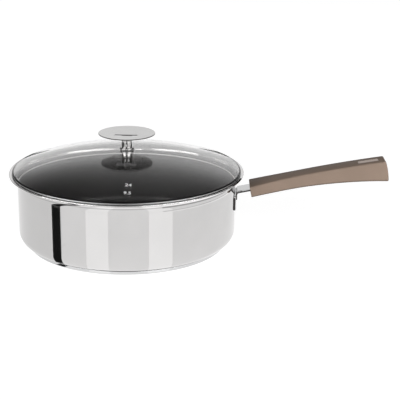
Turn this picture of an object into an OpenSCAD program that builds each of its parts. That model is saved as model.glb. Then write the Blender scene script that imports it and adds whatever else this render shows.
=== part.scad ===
// Saute pan with a domed glass lid and a faceted grip, in millimetres.
// The origin is the centre of the pan's foot on the table, +Z is up and the handle points along +X.

/* [Pan] */
// Inside diameter of the pan
pan_inner_d = 240; // [180:5:300]
// Height from the table to the top of the pouring rim
pan_h = 82; // [66:1:120]
// Thickness of the pressed steel shell
wall_t = 1; // [0.8:0.1:1.6]
// Outside radius of the corner between wall and floor
corner_r = 12; // [8:1:18]
// Radius of the pouring rim's upper face
rim_bend_r = 9.5; // [7:0.5:12]
// Thickness of the non-stick lining
lining_t = 0.3; // [0.2:0.05:0.5]
// Bare steel between the lining and the rim's top
lining_drop = 13.6; // [10:0.2:20]

/* [Encapsulated base] */
// How far the base stands in from the wall's outer face
base_inset = 10.5; // [8:0.5:14]
// Height of the base under the shell
base_h = 4.7; // [3.5:0.1:8]
// Thickness of the steel cup that holds the heat spreader
cup_t = 0.6; // [0.4:0.1:1]
// Height of the open seam above the cup
seam_h = 0.8; // [0.4:0.1:1.2]
// Rounding of the cup's lower edge
cup_edge_r = 1.4; // [1:0.1:2]

/* [Handle bracket] */
// Thickness of the bracket's steel
bracket_t = 1.7; // [1.4:0.1:3]
// Width of the plate that is welded to the wall
plate_w = 38; // [30:1:46]
// Height of the lower edge of the weld plate
plate_z = 41.5; // [30:0.5:46]
// Height at which the plate turns outwards
bend_z = 58.4; // [54:0.1:60]
// Inside radius of that bend
bend_r = 2; // [1.5:0.1:4]
// Width of the strap outside the grip
strap_w = 24; // [18:0.5:28]
// Width of its tang inside the grip
tang_w = 13; // [10:0.5:16]
// Length of strap that shows between the bend and the grip
strap_l = 13.2; // [8:0.2:30]
// Length of the tang inside the grip
tang_l = 52; // [40:1:80]
// Upward slope of the handle
handle_rise = 11.7; // [0:0.1:20]

/* [Grip] */
// Length of the grip
grip_l = 153; // [120:1:200]
// Width of the straight part of the grip
grip_w = 25; // [21:0.5:32]
// Width that the flare adds on each side at the pan's end
flare_w = 4.3; // [1:0.1:6]
// Length of that flare
flare_l = 70; // [40:1:80]
// Height of the grip above the strap's middle, at its crown
grip_top = 6.8; // [6.2:0.1:10]
// Fall of the top towards both ends
crown_drop = 1.9; // [0.5:0.1:2]
// Depth of the grip below the strap's middle at the pan's end
grip_under = 6.8; // [6.4:0.1:10]
// Extra depth of the grip at its far end
heel_drop = 11.4; // [4:0.2:16]
// Straight length of the underside before the heel's curve
heel_start = 35; // [20:1:60]
// Bulge of the far end face
end_bulge = 1.1; // [0.4:0.1:2]
// Length of the plain inlay plate
inlay_l = 22.4; // [12:0.2:30]
// Width of the inlay plate
inlay_w = 8.4; // [4:0.2:12]
// Thickness of the inlay plate
inlay_t = 1; // [0.6:0.1:2]
// Distance of the inlay's middle from the far end
inlay_back = 19; // [16:0.5:40]

/* [Grip fixing] */
// Diameter of the fixing screw
grip_screw_d = 5; // [4:0.5:6]
// Distance of the screw from the grip's pan end
grip_screw_u = 38; // [30:1:46]
// Diameter of the screw's head
grip_head_d = 8.6; // [7:0.2:10]
// Height of the screw's head
grip_head_h = 2.2; // [1.6:0.1:2.4]
// Outside diameter of the threaded insert
insert_d = 7.4; // [6.6:0.1:9]
// Length of the threaded insert
insert_l = 3.8; // [3:0.1:4]

/* [Lid] */
// Thickness of the tempered glass
glass_t = 3.5; // [3:0.1:5]
// How far the glass stands in from the pouring rim's edge
lid_inset = 3.5; // [2:0.1:5]
// Rise of the dome
dome_rise = 21.2; // [10:0.2:30]
// Diameter of the hole for the knob's screw
glass_hole_d = 8; // [7:0.2:10]

/* [Knob] */
// Diameter of the knob's plate
knob_d = 62.8; // [44:0.2:70]
// Thickness of the knob's plate
knob_t = 1; // [0.8:0.1:3]
// Height of the knob above the glass
knob_h = 19; // [16:0.5:36]
// Diameter of the stem
stem_d = 11.6; // [10:0.2:15]
// Diameter of the foot ring
collar_d = 15.8; // [14:0.2:20]
// Height of the foot ring
collar_h = 2; // [1.6:0.1:5]
// Thickness of the silicone washers
seal_t = 0.6; // [0.5:0.1:2]
// Length of the slot in the plate
slot_l = 24.6; // [12:0.2:28]
// Width of the slot
slot_w = 5; // [3:0.1:7]
// Distance of the slot from the plate's middle
slot_off = 12.2; // [10:0.2:16]
// Diameter of the knob's screw
knob_screw_d = 5; // [4:0.5:5]
// Diameter of the knob screw's head
knob_head_d = 10; // [8:0.2:12]
// Height of the knob screw's head
knob_head_h = 2.6; // [1.6:0.1:4]
// Depth of the thread in the stem
thread_l = 9; // [6:0.5:10]
// Diameter of the washers under the glass
under_washer_d = 18; // [14:0.5:24]

/* [Hidden] */
$fn = 96;

// Facets of the long shallow arcs and of the pan's own circles
fine = 360;
// Overrun of every cut
cut = 1;
// Gap between the lid's glass and the rim that carries it
seat_gap = 0.3;
// Play of the tang in its socket, on each side
tang_play = 0.15;
// Play of a screw in a clearance hole, on each side
screw_play = 0.25;
// Play of the inlay in its pocket
inlay_play = 0.1;
// Depth of the inlay below the grip's top
inlay_sink = 0.1;
// Corner radius of the inlay
inlay_corner_r = 0.8;
// Grip plastic between the tang's socket and the screw's seat
grip_web = 1.8;
// Thickness of the lock washer
lock_washer_t = 0.8;
// Play of the screw's head in its counterbore
head_play = 0.4;
// Thickness of the steel washer under the glass
inner_washer_t = 1;
// Gap between the knob screw's tip and the end of its thread
thread_spare = 1;
// Play of the sleeve in the glass hole
sleeve_play = 0.2;
// Rounding of the knob plate's edge, of the screw heads and of the bracket's corners
plate_edge_r = 0.35;
head_edge_r = 0.8;
bracket_corner_r = 3;
// Share of its thickness by which the strap's leg stands out from the weld plate
leg_lift_share = 0.25;
// Height of that leg as a share of the bend's outside radius
leg_h_share = 1.5;
// Width across flats and depth of the screws' hexagon sockets
hex_af = 4;
hex_depth_share = 0.6;

// Pan, worked out from the inside of the wall to the rim
inner_r = pan_inner_d / 2;
wall_r = inner_r + wall_t;
rim_c = inner_r + rim_bend_r;
rim_z = pan_h - rim_bend_r;
lip_r = rim_c + wall_t / 2;
floor_z = base_h + wall_t;
lining_top = pan_h - lining_drop;
base_r = wall_r - base_inset;

// Handle frame: its origin is the middle of the strap where the bend ends
bend_x = wall_r + leg_lift_share * bracket_t + bracket_t + bend_r;
bend_mid = bend_r + bracket_t / 2;
grip_half_w = grip_w / 2;
grip_reach = grip_half_w + flare_w;
crown_u = grip_l / 2;
crown_r = (crown_u * crown_u + crown_drop * crown_drop) / (2 * crown_drop);
heel_l = grip_l - heel_start;
heel_r = (heel_l * heel_l + heel_drop * heel_drop) / (2 * heel_drop);
flare_r = (flare_l * flare_l + flare_w * flare_w) / (2 * flare_w);
end_half = (grip_top + grip_under + heel_drop) / 2;
end_r = (end_half * end_half + end_bulge * end_bulge) / (2 * end_bulge);
end_mid = grip_top - end_half;
socket_half = bracket_t / 2 + tang_play;
seat_w = -socket_half - grip_web;
inlay_u = grip_l - inlay_back;
inlay_tilt = asin((inlay_u - crown_u) / crown_r);
screw_r = grip_screw_d / 2;

// Lid, seated on the rounded rim
edge_mid_r = lip_r - lid_inset - glass_t / 2;
seat_dist = rim_bend_r + seat_gap + glass_t / 2;
edge_mid_z = rim_z + sqrt(seat_dist * seat_dist - (rim_c - edge_mid_r) * (rim_c - edge_mid_r));
dome_r = (edge_mid_r * edge_mid_r + dome_rise * dome_rise) / (2 * dome_rise);
dome_z = edge_mid_z + dome_rise - dome_r;
glass_top = edge_mid_z + dome_rise + glass_t / 2;
under_r = dome_r - glass_t / 2;
under_z = dome_z + sqrt(under_r * under_r - under_washer_d * under_washer_d / 4);

// Knob, stacked on the glass
collar_z = glass_top + seal_t;
stem_z = collar_z + collar_h;
plate_top = glass_top + knob_h;
stem_h = plate_top - knob_t - stem_z;
knob_screw_r = knob_screw_d / 2;
knob_tip = stem_z + thread_l - thread_spare;
sleeve_r = glass_hole_d / 2 - sleeve_play;
head_z = under_z - seal_t - inner_washer_t;

// Half section of a bowl with a rounded corner, standing on the axis
module bowl_section(r, h, c) {
    square([r - c, h]);
    translate([0, c]) square([r, h - c]);
    translate([r - c, c]) circle(c, $fn = fine / 3);
}

// Half section of a disc whose rim is rounded all the way
module round_disc_section(r, h, c) {
    translate([0, c]) square([r, h - 2 * c]);
    square([r - c, h]);
    for (z = [c, h - c]) translate([r - c, z]) circle(c);
}

// Flat ring
module washer(r_out, r_in, h) {
    difference() {
        cylinder(r = r_out, h = h);
        translate([0, 0, -cut]) cylinder(r = r_in, h = h + 2 * cut);
    }
}

// Screw standing on its head's outer face, with a hexagon socket
module socket_screw(r, l, head_r, head_h) {
    difference() {
        union() {
            rotate_extrude() {
                translate([0, head_edge_r]) square([head_r, head_h - head_edge_r]);
                square([head_r - head_edge_r, head_h]);
                translate([head_r - head_edge_r, head_edge_r]) circle(head_edge_r);
            }
            translate([0, 0, head_h]) cylinder(r = r, h = l);
        }
        translate([0, 0, -cut])
            cylinder(d = hex_af / cos(30), h = head_h * hex_depth_share + cut, $fn = 6);
    }
}

// Places its children in the handle's frame: +X along the strap, +Z square to it
module along_handle(u = 0) {
    translate([bend_x, 0, bend_z]) rotate([0, -handle_rise, 0])
        translate([u, 0, bend_mid]) children();
}

module pan_shell() {
    color("silver") rotate_extrude($fn = fine) {
        difference() {
            translate([0, base_h]) bowl_section(wall_r, rim_z - base_h, corner_r);
            translate([0, floor_z]) bowl_section(inner_r, pan_h, corner_r - wall_t);
        }
        translate([rim_c, rim_z]) intersection() {
            difference() {
                circle(rim_bend_r, $fn = fine / 3);
                circle(rim_bend_r - wall_t, $fn = fine / 3);
            }
            translate([-rim_bend_r - cut, 0]) square(rim_bend_r + cut);
        }
        translate([rim_c, pan_h - wall_t / 2]) circle(wall_t / 2);
    }
}

module nonstick_lining() {
    color("dimgray") rotate_extrude($fn = fine) difference() {
        translate([0, floor_z])
            bowl_section(inner_r, lining_top - floor_z, corner_r - wall_t);
        translate([0, floor_z + lining_t])
            bowl_section(inner_r - lining_t, pan_h, corner_r - wall_t - lining_t);
    }
}

// Aluminium disc that spreads the heat under the floor
module heat_spreader() {
    color("gainsboro") translate([0, 0, cup_t])
        cylinder(r = base_r - cup_t, h = base_h - cup_t, $fn = fine);
}

// Magnetic steel cup pressed over the disc
module base_cup() {
    color("silver") rotate_extrude($fn = fine) difference() {
        bowl_section(base_r, base_h - seam_h, cup_edge_r);
        translate([0, cup_t]) square([base_r - cup_t, base_h]);
    }
}

// Side view of the bracket: short leg on the weld plate, bend, and the strap with its tang
module bracket_side() {
    outer_r = bend_r + bracket_t;
    leg_h = outer_r * leg_h_share;
    far = strap_l + tang_l + outer_r;
    translate([bend_x, bend_z]) difference() {
        union() {
            circle(outer_r);
            rotate(handle_rise) square([strap_l + tang_l, outer_r]);
            translate([-outer_r, -leg_h]) square([outer_r, leg_h]);
        }
        circle(bend_r);
        rotate(handle_rise) translate([0, -far]) square([far, far + bend_r]);
        translate([-bend_r, -far]) square([far, far]);
    }
}

module handle_bracket() {
    color("silver") difference() {
        union() {
            translate([0, strap_w / 2, 0]) rotate([90, 0, 0])
                linear_extrude(strap_w) bracket_side();
            intersection() {
                translate([0, 0, plate_z]) difference() {
                    cylinder(r = wall_r + bracket_t, h = bend_z - plate_z, $fn = fine);
                    translate([0, 0, -cut])
                        cylinder(r = wall_r, h = bend_z - plate_z + 2 * cut, $fn = fine);
                }
                translate([0, 0, plate_z]) rotate([90, 0, 90])
                    linear_extrude(2 * wall_r) weld_plate_front();
            }
        }
        along_handle(strap_l + grip_screw_u) translate([0, 0, -bracket_t])
            cylinder(r = screw_r + screw_play, h = 2 * bracket_t);
        for (side = [-1, 1]) along_handle(strap_l - tang_play + bracket_t / 2)
            translate([tang_l / 2, side * (tang_w + strap_w) / 2, 0])
                cube([tang_l + bracket_t, strap_w, 2 * bracket_t], center = true);
    }
}

// Front view of the weld plate, with rounded lower corners
module weld_plate_front() {
    plate_h = bend_z - plate_z;
    translate([-plate_w / 2, bracket_corner_r]) square([plate_w, plate_h - bracket_corner_r]);
    translate([bracket_corner_r - plate_w / 2, 0])
        square([plate_w - 2 * bracket_corner_r, plate_h]);
    for (side = [-1, 1]) translate([side * (plate_w / 2 - bracket_corner_r), bracket_corner_r])
        circle(bracket_corner_r);
}

// Side view of the grip: crowned top, level underside, curved heel and bulged end
module grip_side() {
    deep = grip_under + heel_drop;
    intersection() {
        union() {
            translate([0, -grip_under]) square([grip_l, grip_under + grip_top]);
            difference() {
                translate([heel_start, -deep]) square([heel_l, deep]);
                translate([heel_start, -grip_under - heel_r]) circle(heel_r, $fn = fine);
            }
        }
        translate([crown_u, grip_top - crown_r]) circle(crown_r, $fn = 2 * fine);
        translate([grip_l - end_r, end_mid]) union() {
            circle(end_r, $fn = fine);
            translate([-grip_l, -grip_l / 2]) square([grip_l, grip_l]);
        }
    }
}

// Plan of the grip: parallel sides that flare towards the pan
module grip_plan() {
    translate([0, -grip_half_w]) square([grip_l, grip_w]);
    for (side = [-1, 1]) scale([1, side]) difference() {
        square([flare_l, grip_reach]);
        translate([flare_l, grip_half_w + flare_r]) circle(flare_r, $fn = fine);
    }
}

// Outline of the inlay plate, grown by a margin
module inlay_plan(margin) {
    r = inlay_corner_r + margin;
    x = inlay_l / 2 - inlay_corner_r;
    y = inlay_w / 2 - inlay_corner_r;
    square([2 * x, 2 * (y + r)], center = true);
    square([2 * (x + r), 2 * y], center = true);
    for (sx = [-1, 1], sy = [-1, 1]) translate([sx * x, sy * y]) circle(r);
}

// Places its children on the grip's top at the inlay's middle
module on_inlay() {
    along_handle(strap_l + crown_u) translate([0, 0, grip_top - crown_r])
        rotate([0, inlay_tilt, 0]) translate([0, 0, crown_r]) children();
}

module grip() {
    color("rosybrown") difference() {
        along_handle(strap_l) intersection() {
            translate([0, grip_reach, 0]) rotate([90, 0, 0])
                linear_extrude(2 * grip_reach) grip_side();
            translate([0, 0, -grip_under - heel_drop])
                linear_extrude(grip_under + heel_drop + grip_top) grip_plan();
        }
        along_handle(strap_l) {
            translate([-cut, -tang_w / 2 - tang_play, -socket_half])
                cube([tang_l + tang_play + cut, tang_w + 2 * tang_play, 2 * socket_half]);
            translate([grip_screw_u, 0, 0]) {
                cylinder(d = insert_d, h = socket_half + insert_l);
                translate([0, 0, seat_w - cut])
                    cylinder(r = screw_r + screw_play, h = cut - seat_w);
                translate([0, 0, -2 * grip_under])
                    cylinder(r = grip_head_d / 2 + head_play, h = 2 * grip_under + seat_w);
            }
        }
        on_inlay() translate([0, 0, -inlay_t - inlay_sink])
            linear_extrude(inlay_t + inlay_sink + cut) inlay_plan(inlay_play);
    }
}

module grip_inlay() {
    color("tan") on_inlay() translate([0, 0, -inlay_t - inlay_sink])
        linear_extrude(inlay_t) inlay_plan(0);
}

// Brass insert moulded into the grip above the tang
module grip_insert() {
    color("goldenrod") along_handle(strap_l + grip_screw_u) translate([0, 0, socket_half])
        washer(insert_d / 2, screw_r, insert_l);
}

module grip_lock_washer() {
    color("lightgray") along_handle(strap_l + grip_screw_u)
        translate([0, 0, seat_w - lock_washer_t])
            washer(grip_head_d / 2, screw_r + screw_play, lock_washer_t);
}

module grip_screw() {
    color("lightgray") along_handle(strap_l + grip_screw_u)
        translate([0, 0, seat_w - lock_washer_t - grip_head_h])
            socket_screw(screw_r, lock_washer_t - seat_w + socket_half + insert_l - screw_play,
                grip_head_d / 2, grip_head_h);
}

// Domed glass with a ground round edge and a hole in the middle
module lid_glass() {
    reach = 2 * dome_r;
    color("lightblue", 0.4) difference() {
        rotate_extrude($fn = fine) {
            translate([0, dome_z]) intersection() {
                difference() {
                    circle(dome_r + glass_t / 2, $fn = 2 * fine);
                    circle(dome_r - glass_t / 2, $fn = 2 * fine);
                }
                polygon([[0, 0], [reach * edge_mid_r / dome_r, reach * (edge_mid_z - dome_z) / dome_r],
                    [0, reach]]);
            }
            translate([edge_mid_r, edge_mid_z]) circle(glass_t / 2);
        }
        translate([0, 0, edge_mid_z]) cylinder(d = glass_hole_d, h = dome_rise + glass_t);
    }
}

module knob_plate() {
    color("gainsboro") translate([0, 0, plate_top - knob_t]) difference() {
        rotate_extrude($fn = fine / 2) round_disc_section(knob_d / 2, knob_t, plate_edge_r);
        translate([-slot_l / 2, -slot_off - slot_w / 2, -cut])
            cube([slot_l, slot_w, knob_t + 2 * cut]);
    }
}

module knob_stem() {
    color("silver") translate([0, 0, stem_z]) difference() {
        cylinder(d = stem_d, h = stem_h);
        translate([0, 0, -cut]) cylinder(r = knob_screw_r, h = thread_l + cut);
    }
}

module knob_foot_ring() {
    color("silver") translate([0, 0, collar_z]) difference() {
        rotate_extrude() {
            square([(collar_d - collar_h) / 2, collar_h]);
            translate([(collar_d - collar_h) / 2, collar_h / 2]) circle(collar_h / 2);
        }
        translate([0, 0, -cut]) cylinder(r = knob_screw_r + screw_play, h = collar_h + 2 * cut);
    }
}

module knob_seal_upper() {
    color("darkgray") translate([0, 0, glass_top])
        washer((collar_d - collar_h) / 2, knob_screw_r + screw_play, seal_t);
}

// Silicone washer with a sleeve that keeps the screw off the glass
module knob_seal_lower() {
    color("darkgray") translate([0, 0, under_z - seal_t]) difference() {
        union() {
            cylinder(d = under_washer_d, h = seal_t);
            cylinder(r = sleeve_r, h = glass_top - under_z + seal_t);
        }
        translate([0, 0, -cut])
            cylinder(r = knob_screw_r + screw_play, h = glass_top - under_z + seal_t + 2 * cut);
    }
}

module knob_inner_washer() {
    color("lightgray") translate([0, 0, head_z])
        washer(under_washer_d / 2 - seal_t, knob_screw_r + screw_play, inner_washer_t);
}

module knob_screw() {
    color("lightgray") translate([0, 0, head_z - knob_head_h])
        socket_screw(knob_screw_r, knob_tip - head_z, knob_head_d / 2, knob_head_h);
}

pan_shell();
nonstick_lining();
heat_spreader();
base_cup();
handle_bracket();
grip();
grip_insert();
grip_lock_washer();
grip_screw();
grip_inlay();
lid_glass();
knob_plate();
knob_stem();
knob_foot_ring();
knob_seal_upper();
knob_seal_lower();
knob_inner_washer();
knob_screw();
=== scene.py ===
import math

import bpy
import numpy as np
from mathutils import Matrix, Vector


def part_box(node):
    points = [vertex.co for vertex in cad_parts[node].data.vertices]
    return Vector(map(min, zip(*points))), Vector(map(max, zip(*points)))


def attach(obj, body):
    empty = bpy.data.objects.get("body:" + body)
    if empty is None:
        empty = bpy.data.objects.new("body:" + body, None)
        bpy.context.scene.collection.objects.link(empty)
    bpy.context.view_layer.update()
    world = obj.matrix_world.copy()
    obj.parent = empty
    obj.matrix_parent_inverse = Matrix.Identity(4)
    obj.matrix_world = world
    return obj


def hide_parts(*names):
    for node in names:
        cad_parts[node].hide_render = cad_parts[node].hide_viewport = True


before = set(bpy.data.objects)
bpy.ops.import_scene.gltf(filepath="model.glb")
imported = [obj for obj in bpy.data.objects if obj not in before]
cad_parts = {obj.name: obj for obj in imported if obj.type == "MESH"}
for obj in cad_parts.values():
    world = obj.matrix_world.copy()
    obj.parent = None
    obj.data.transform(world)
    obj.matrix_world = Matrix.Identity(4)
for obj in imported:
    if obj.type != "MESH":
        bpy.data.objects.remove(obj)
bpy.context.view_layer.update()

mm = 0.001

# Camera. It stands where the photograph was taken from, as a fit to the pan's outlines gave it:
# 1.2 m away and 18 degrees above the table, with a long lens and a slight roll.
camera_place = Vector((92.54, -1175.83, 425.96)) * mm
camera_look = Vector((-0.008794, 0.952021, -0.305906)).normalized()
camera_roll = math.radians(-0.71)
focal_px, photo_px, sensor_mm = 1098.9, 400, 36


def new_object(name, data):
    """An object with this mesh, lamp, curve or lens, linked into the scene."""
    made = bpy.data.objects.new(name, data)
    bpy.context.scene.collection.objects.link(made)
    return made


lens = bpy.data.cameras.new("photo_camera")
lens.sensor_fit, lens.sensor_width = "HORIZONTAL", sensor_mm
lens.lens = focal_px / photo_px * sensor_mm
lens.clip_start, lens.clip_end = 0.05, 30
camera = new_object("photo_camera", lens)
level_right = camera_look.cross(Vector((0, 0, 1))).normalized()
level_up = level_right.cross(camera_look)
right = math.cos(camera_roll) * level_right - math.sin(camera_roll) * level_up
up = math.sin(camera_roll) * level_right + math.cos(camera_roll) * level_up
turn = Matrix((right, up, -camera_look)).transposed().to_4x4()
camera.matrix_world = Matrix.Translation(camera_place) @ turn
bpy.context.scene.camera = camera
bpy.context.scene.view_settings.view_transform = "Standard"


# Studio. A white table stands before a low, bowed white backdrop. The ceiling and sides are dark, so
# polished edges draw themselves as dark lines, and the lid is light at the back alone. The front is
# pale up to middle height, apart from the camera's black stand. The camera itself sees plain white.
table_glow, table_colour, table_size = 0.93, 0.25, 4.0
table_near, table_far = 0.3, 1.2
backdrop_level, room_level, side_level, front_level = 0.75, 0.035, 0.5, 0.6
backdrop_edge, backdrop_fade, backdrop_bow, backdrop_turn = 48, 64, 2.2, -1.5
backdrop_fall = ((0, 1.12), (0.33, 1.08), (0.43, 0.97), (0.5, 0.74), (0.57, 0.5), (0.64, 0.33),
                 (0.71, 0.2), (0.79, 0.1), (0.88, 0.03), (0.96, 0))
side_starts, side_ends, front_starts, front_ends = 0.3, 0.8, -0.1, -0.5
front_rise = ((0.02, 0), (0.1, front_level), (0.45, front_level), (0.7, 0))
stand_half, stand_fade, stand_top, stand_foot = 7, 10, 0.25, -0.12


def wire(tree, kind, inputs=(), **settings):
    """Adds a node of this kind, sets its fields, and fills its inputs with values or links."""
    node = tree.nodes.new("ShaderNode" + kind)
    for field, value in settings.items():
        setattr(node, field, value)
    for socket, value in dict(inputs).items():
        if isinstance(value, bpy.types.NodeSocket):
            tree.links.new(value, node.inputs[socket])
        else:
            node.inputs[socket].default_value = value
    return node


def calc(tree, operation, *values):
    """A Math node over one or two numbers or links."""
    return wire(tree, "Math", dict(enumerate(values)), operation=operation).outputs[0]


def carry(tree, value, start, end, low=0, high=1, **settings):
    """A Map Range node: values from start to end are carried to low to high, and held at both ends."""
    ranges = {"Value": value, "From Min": start, "From Max": end, "To Min": low, "To Max": high}
    return wire(tree, "MapRange", ranges, **settings).outputs["Result"]


def ramp(tree, factor, *stops):
    """A Color Ramp node over (place, grey or colour) stops."""
    node = wire(tree, "ValToRGB", {"Fac": factor})
    band = node.color_ramp
    while len(band.elements) < len(stops):
        band.elements.new(1)
    for element, (place, tone) in zip(band.elements, stops):
        element.position = place
        element.color = (tone, tone, tone, 1) if isinstance(tone, (int, float)) else (*tone, 1)
    return node.outputs["Color"]


world = bpy.data.worlds.new("studio")
world.use_nodes = True
tree = world.node_tree
sky, sky_out = tree.nodes["Background"], tree.nodes["World Output"]
heading = wire(tree, "TexCoord").outputs["Generated"]
height = wire(tree, "SeparateXYZ", {"Vector": heading}).outputs["Z"]
flat = wire(tree, "VectorMath", {0: heading, 1: (1, 1, 0)}, operation="MULTIPLY").outputs[0]
flat = wire(tree, "VectorMath", {0: flat}, operation="NORMALIZE").outputs[0]
behind = Vector((camera_look.x, camera_look.y, 0)).normalized()
facing = wire(tree, "VectorMath", {0: flat, 1: behind}, operation="DOT_PRODUCT").outputs["Value"]
middle = Matrix.Rotation(math.radians(backdrop_turn), 3, "Z") @ behind
inward = wire(tree, "VectorMath", {0: flat, 1: middle}, operation="DOT_PRODUCT").outputs["Value"]
wide = carry(tree, inward, math.cos(math.radians(backdrop_fade)), math.cos(math.radians(backdrop_edge)),
             interpolation_type="SMOOTHSTEP")
bow = calc(tree, "SUBTRACT", 1, inward)
bow = calc(tree, "MULTIPLY", bow, backdrop_bow)
reach = calc(tree, "ADD", height, bow)
tall = ramp(tree, reach, *[(place, share * backdrop_level) for place, share in backdrop_fall])
cloth = calc(tree, "MULTIPLY", wide, tall)
room = calc(tree, "ADD", cloth, room_level)
front = carry(tree, facing, front_starts, front_ends)
front = calc(tree, "MULTIPLY", front, ramp(tree, height, *front_rise))
room = calc(tree, "ADD", room, front)
above = calc(tree, "GREATER_THAN", height, 0)
aside = calc(tree, "ABSOLUTE", facing)
ground = carry(tree, aside, side_starts, side_ends, side_level)
level = wire(tree, "Mix", {0: above, 2: ground, 3: room}).outputs[0]
clear = carry(tree, facing, -math.cos(math.radians(stand_half)), -math.cos(math.radians(stand_fade)))
higher = calc(tree, "GREATER_THAN", height, stand_top)
lower = calc(tree, "LESS_THAN", height, stand_foot)
beyond = calc(tree, "MAXIMUM", higher, lower)
clear = calc(tree, "MAXIMUM", clear, beyond)
level = calc(tree, "MULTIPLY", level, clear)
tree.links.new(level, sky.inputs["Color"])
white = wire(tree, "Background", {"Color": (1, 1, 1, 1), "Strength": 1})
seen = wire(tree, "LightPath").outputs["Is Camera Ray"]
either = wire(tree, "MixShader", {0: seen, 1: sky.outputs[0], 2: white.outputs[0]})
tree.links.new(either.outputs[0], sky_out.inputs["Surface"])
bpy.context.scene.world = world

plane = bpy.data.meshes.new("table")
half = table_size / 2
corners = [(-half, -half, 0), (half, -half, 0), (half, half, 0), (-half, half, 0)]
plane.from_pydata(corners, [], [(0, 1, 2, 3)])
table = new_object("table", plane)
paper = bpy.data.materials.new("white_table")
paper.use_nodes = True
tree = paper.node_tree
tree.nodes.remove(tree.nodes["Principled BSDF"])
place = wire(tree, "TexCoord").outputs["Object"]
off = wire(tree, "VectorMath", {0: place}, operation="LENGTH").outputs["Value"]
lit = carry(tree, off, table_near, table_far, table_glow)
glow = wire(tree, "Emission", {"Color": (1, 1, 1, 1), "Strength": lit})
matt = wire(tree, "BsdfDiffuse", {"Color": (table_colour, table_colour, table_colour, 1)})
both = wire(tree, "AddShader", {0: glow.outputs[0], 1: matt.outputs[0]})
tree.links.new(both.outputs[0], tree.nodes["Material Output"].inputs["Surface"])
plane.materials.append(paper)


# Lamps. Two wide soft boxes stand to the left and right of the camera, and a low lamp that mirrors
# don't show fills the front. Two narrow streak lamps and two low strips, which only mirrors show,
# draw the bright lines in the lid and the light bands on the knob's stem.
def soft_box(name, azimuth, elevation, distance, wide, tall, level):
    """An area lamp at that azimuth from the camera's side (degrees, to the right), turned to the pan,
    as wide and tall as its two angles span from there. Its watts are level times pi times its area."""
    a, e = math.radians(azimuth - 90), math.radians(elevation)
    place = Vector((math.cos(a) * math.cos(e), math.sin(a) * math.cos(e), math.sin(e))) * distance
    data = bpy.data.lights.new(name, "AREA")
    data.shape = "RECTANGLE"
    data.size, data.size_y = (2 * distance * math.tan(math.radians(span / 2)) for span in (wide, tall))
    data.energy = level * math.pi * data.size * data.size_y
    lamp = new_object(name, data)
    facing_pan = (-place).to_track_quat("-Z", "Y").to_matrix().to_4x4()
    lamp.matrix_world = Matrix.Translation(place) @ facing_pan
    lamp.visible_camera = False
    return lamp


soft_box("soft_box_left", -56, 25, 1.7, 54, 18, 3.8)
soft_box("soft_box_right", 47, 25, 1.7, 54, 18, 3.8)
fill = soft_box("low_fill", 0, 9, 2.2, 24, 8, 5.0)
fill.visible_glossy = False
strip_distance = 1.6
for name, azimuth, elevation, *spans_and_level in (
        ("streak_left", -53, 26, 56, 8, 2.4), ("streak_right", 62, 26, 54, 8, 2.4),
        ("low_strip_left", -38, 7, 30, 13, 1.0), ("low_strip_right", 61, 7, 78, 13, 1.2)):
    soft_box(name, azimuth, elevation, strip_distance, *spans_and_level).visible_diffuse = False


# Pan body. One steel sheet of 1 mm is pressed to a straight-walled pot whose rim is rolled out for
# pouring. Its outside is mirror-polished, with faint rings left by the polishing wheel.
wall_r, wall_t, inner_r = 121 * mm, 1 * mm, 120 * mm
base_h, corner_r, rim_bend_r = 4.7 * mm, 12 * mm, 9.5 * mm
pan_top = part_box("pan_shell")[1].z
rim_c, rim_z = inner_r + rim_bend_r, pan_top - rim_bend_r
floor_z = base_h + wall_t
turns, fan_r = 288, 20 * mm


def arc(centre, radius, start, end, steps):
    """Points of an arc: centre plus radius times (cos a, sin a), a from start to end in degrees."""
    a = np.radians(np.linspace(start, end, steps))
    return np.column_stack((centre[0] + radius * np.cos(a), centre[1] + radius * np.sin(a)))


def skin(name, rows, looped=False, crease=35):
    """A closed surface over a grid of points (rows, columns, 3): neighbours make quads, and columns
    wrap round. Rows wrap too if looped; otherwise a fan to their mean closes the first and last row.
    The faces are turned outwards by the sign of the volume, sum of a . (b x c) / 6."""
    n, m = rows.shape[:2]
    points = rows.reshape(-1, 3)
    index = np.arange(n * m).reshape(n, m)
    lower = index if looped else index[:-1]
    upper = np.roll(index, -1, 0) if looped else index[1:]
    quads = np.stack((lower, np.roll(lower, -1, 1), np.roll(upper, -1, 1), upper), -1).reshape(-1, 4)
    corners = [quads[:, [0, 1, 2]], quads[:, [0, 2, 3]]]
    fans = np.zeros((0, 3), int)
    if not looped:
        first, last = index[0], index[-1]
        points = np.vstack((points, rows[0].mean(0), rows[-1].mean(0)))
        fans = np.vstack((np.column_stack((np.full(m, n * m), np.roll(first, -1), first)),
                          np.column_stack((np.full(m, n * m + 1), last, np.roll(last, -1)))))
        corners.append(fans)
    a, b, c = points[np.vstack(corners)].transpose(1, 0, 2)
    if (a * np.cross(b, c)).sum() < 0:
        quads, fans = quads[:, ::-1], fans[:, ::-1]
    data = bpy.data.meshes.new(name)
    data.from_pydata(points.tolist(), [], quads.tolist() + fans.tolist())
    data.shade_smooth()
    data.set_sharp_from_angle(angle=math.radians(crease))
    return new_object(name, data)


def revolve(name, profile, looped=False, columns=turns, crease=35):
    """A profile of (radius, height) points turned about the Z axis: (r cos t, r sin t, z)."""
    t = np.linspace(0, 2 * np.pi, columns, endpoint=False)
    r, z = profile[:, :1], profile[:, 1:]
    grid = np.stack((r * np.cos(t), r * np.sin(t), z + 0 * t), -1)
    return skin(name, grid, looped, crease)


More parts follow.
